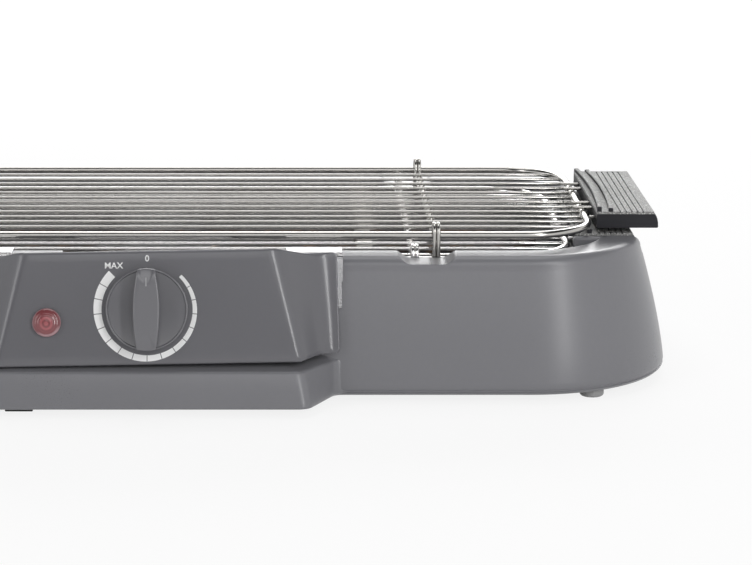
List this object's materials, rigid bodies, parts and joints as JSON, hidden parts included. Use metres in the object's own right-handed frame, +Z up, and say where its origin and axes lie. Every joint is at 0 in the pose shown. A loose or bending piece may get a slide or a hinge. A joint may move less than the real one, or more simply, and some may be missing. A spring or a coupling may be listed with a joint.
{
  "type": "electric indoor grill",
  "caption": "Low electric table grill: grey tub, hanging heater with a thermostat knob and pilot lamp, reflector tray and lift-off wire racks with handles.",
  "frame": {"origin": "on the table, under the middle of the tub's opening", "axes": "+Z up, +X along the tub to the right as the user sees it, -Y towards the user and the control box"},
  "size_m": [0.4978, 0.2635, 0.0809],
  "materials": {
    "housing": "fine-grained matt grey",
    "base_cover": "matt black",
    "screws": "zinc plated",
    "feet": "moulded rubber",
    "reflector": "satin sheet",
    "element": "heat-darkened",
    "strips": "satin",
    "terminals": "nickel plated",
    "neck": "satin",
    "hanger": "bright",
    "control_box": "smooth matt grey",
    "thermostat": "unglazed",
    "terminal_block": "natural nylon",
    "leads": "silicone covered",
    "pilot_lens": "clear dark red",
    "pilot_lamp": "clear",
    "gland": "moulded rubber",
    "spindle": "turned",
    "knob": "smooth matt grey, glossy edges",
    "pointer": "white inlay",
    "rack_wire": "polished wire",
    "handles": "heat-proof, charcoal grey",
    "grips": "textured light grey"
  },
  "bodies": {
    "base": {"housing": "housing", "base_cover": "base_cover", "base_screws": "screws", "feet": "feet", "cord_side_pad": "feet"},
    "reflector_tray": {"reflector": "reflector"},
    "heater": {"element": "element", "element_strips": "strips", "terminals": "terminals", "neck": "neck", "hanger": "hanger", "control_cover": "control_box", "cover_screws": "screws", "thermostat": "thermostat", "terminal_block": "terminal_block", "leads": "leads", "pilot_lens": "pilot_lens", "pilot_lamp": "pilot_lamp", "cord_gland": "gland"},
    "knob_unit": {"knob": "knob", "spindle": "spindle", "knob_pointer": "pointer"},
    "lower_rack": {"lower_frame": "rack_wire", "lower_rods": "rack_wire", "lower_legs": "rack_wire", "lower_handle_left": "handles", "lower_handle_right": "handles", "lower_grip_left": "grips", "lower_grip_right": "grips"},
    "upper_rack": {"upper_frame": "rack_wire", "upper_rods": "rack_wire", "upper_legs": "rack_wire", "upper_handle_left": "handles", "upper_handle_right": "handles", "upper_grip_left": "grips", "upper_grip_right": "grips"}
  },
  "joints": [
    {"name": "reflector_lift", "type": "slide", "parent": "base", "child": "reflector_tray", "axis": [0, 0, 1], "range_m": [0, 0.06]},
    {"name": "heater_lift", "type": "slide", "parent": "reflector_tray", "child": "heater", "axis": [0, 0, 1], "range_m": [0, 0.05]},
    {"name": "lower_rack_lift", "type": "slide", "parent": "heater", "child": "lower_rack", "axis": [0, 0, 1], "range_m": [0, 0.05]},
    {"name": "upper_rack_lift", "type": "slide", "parent": "lower_rack", "child": "upper_rack", "axis": [0, 0, 1], "range_m": [0, 0.05]},
    {"name": "knob_turn", "type": "hinge", "parent": "heater", "child": "knob_unit", "pos_m": [0, -0.1307, 0.0488], "axis": [0, 0.9724, -0.2334], "range_deg": [0, 316]}
  ]
}
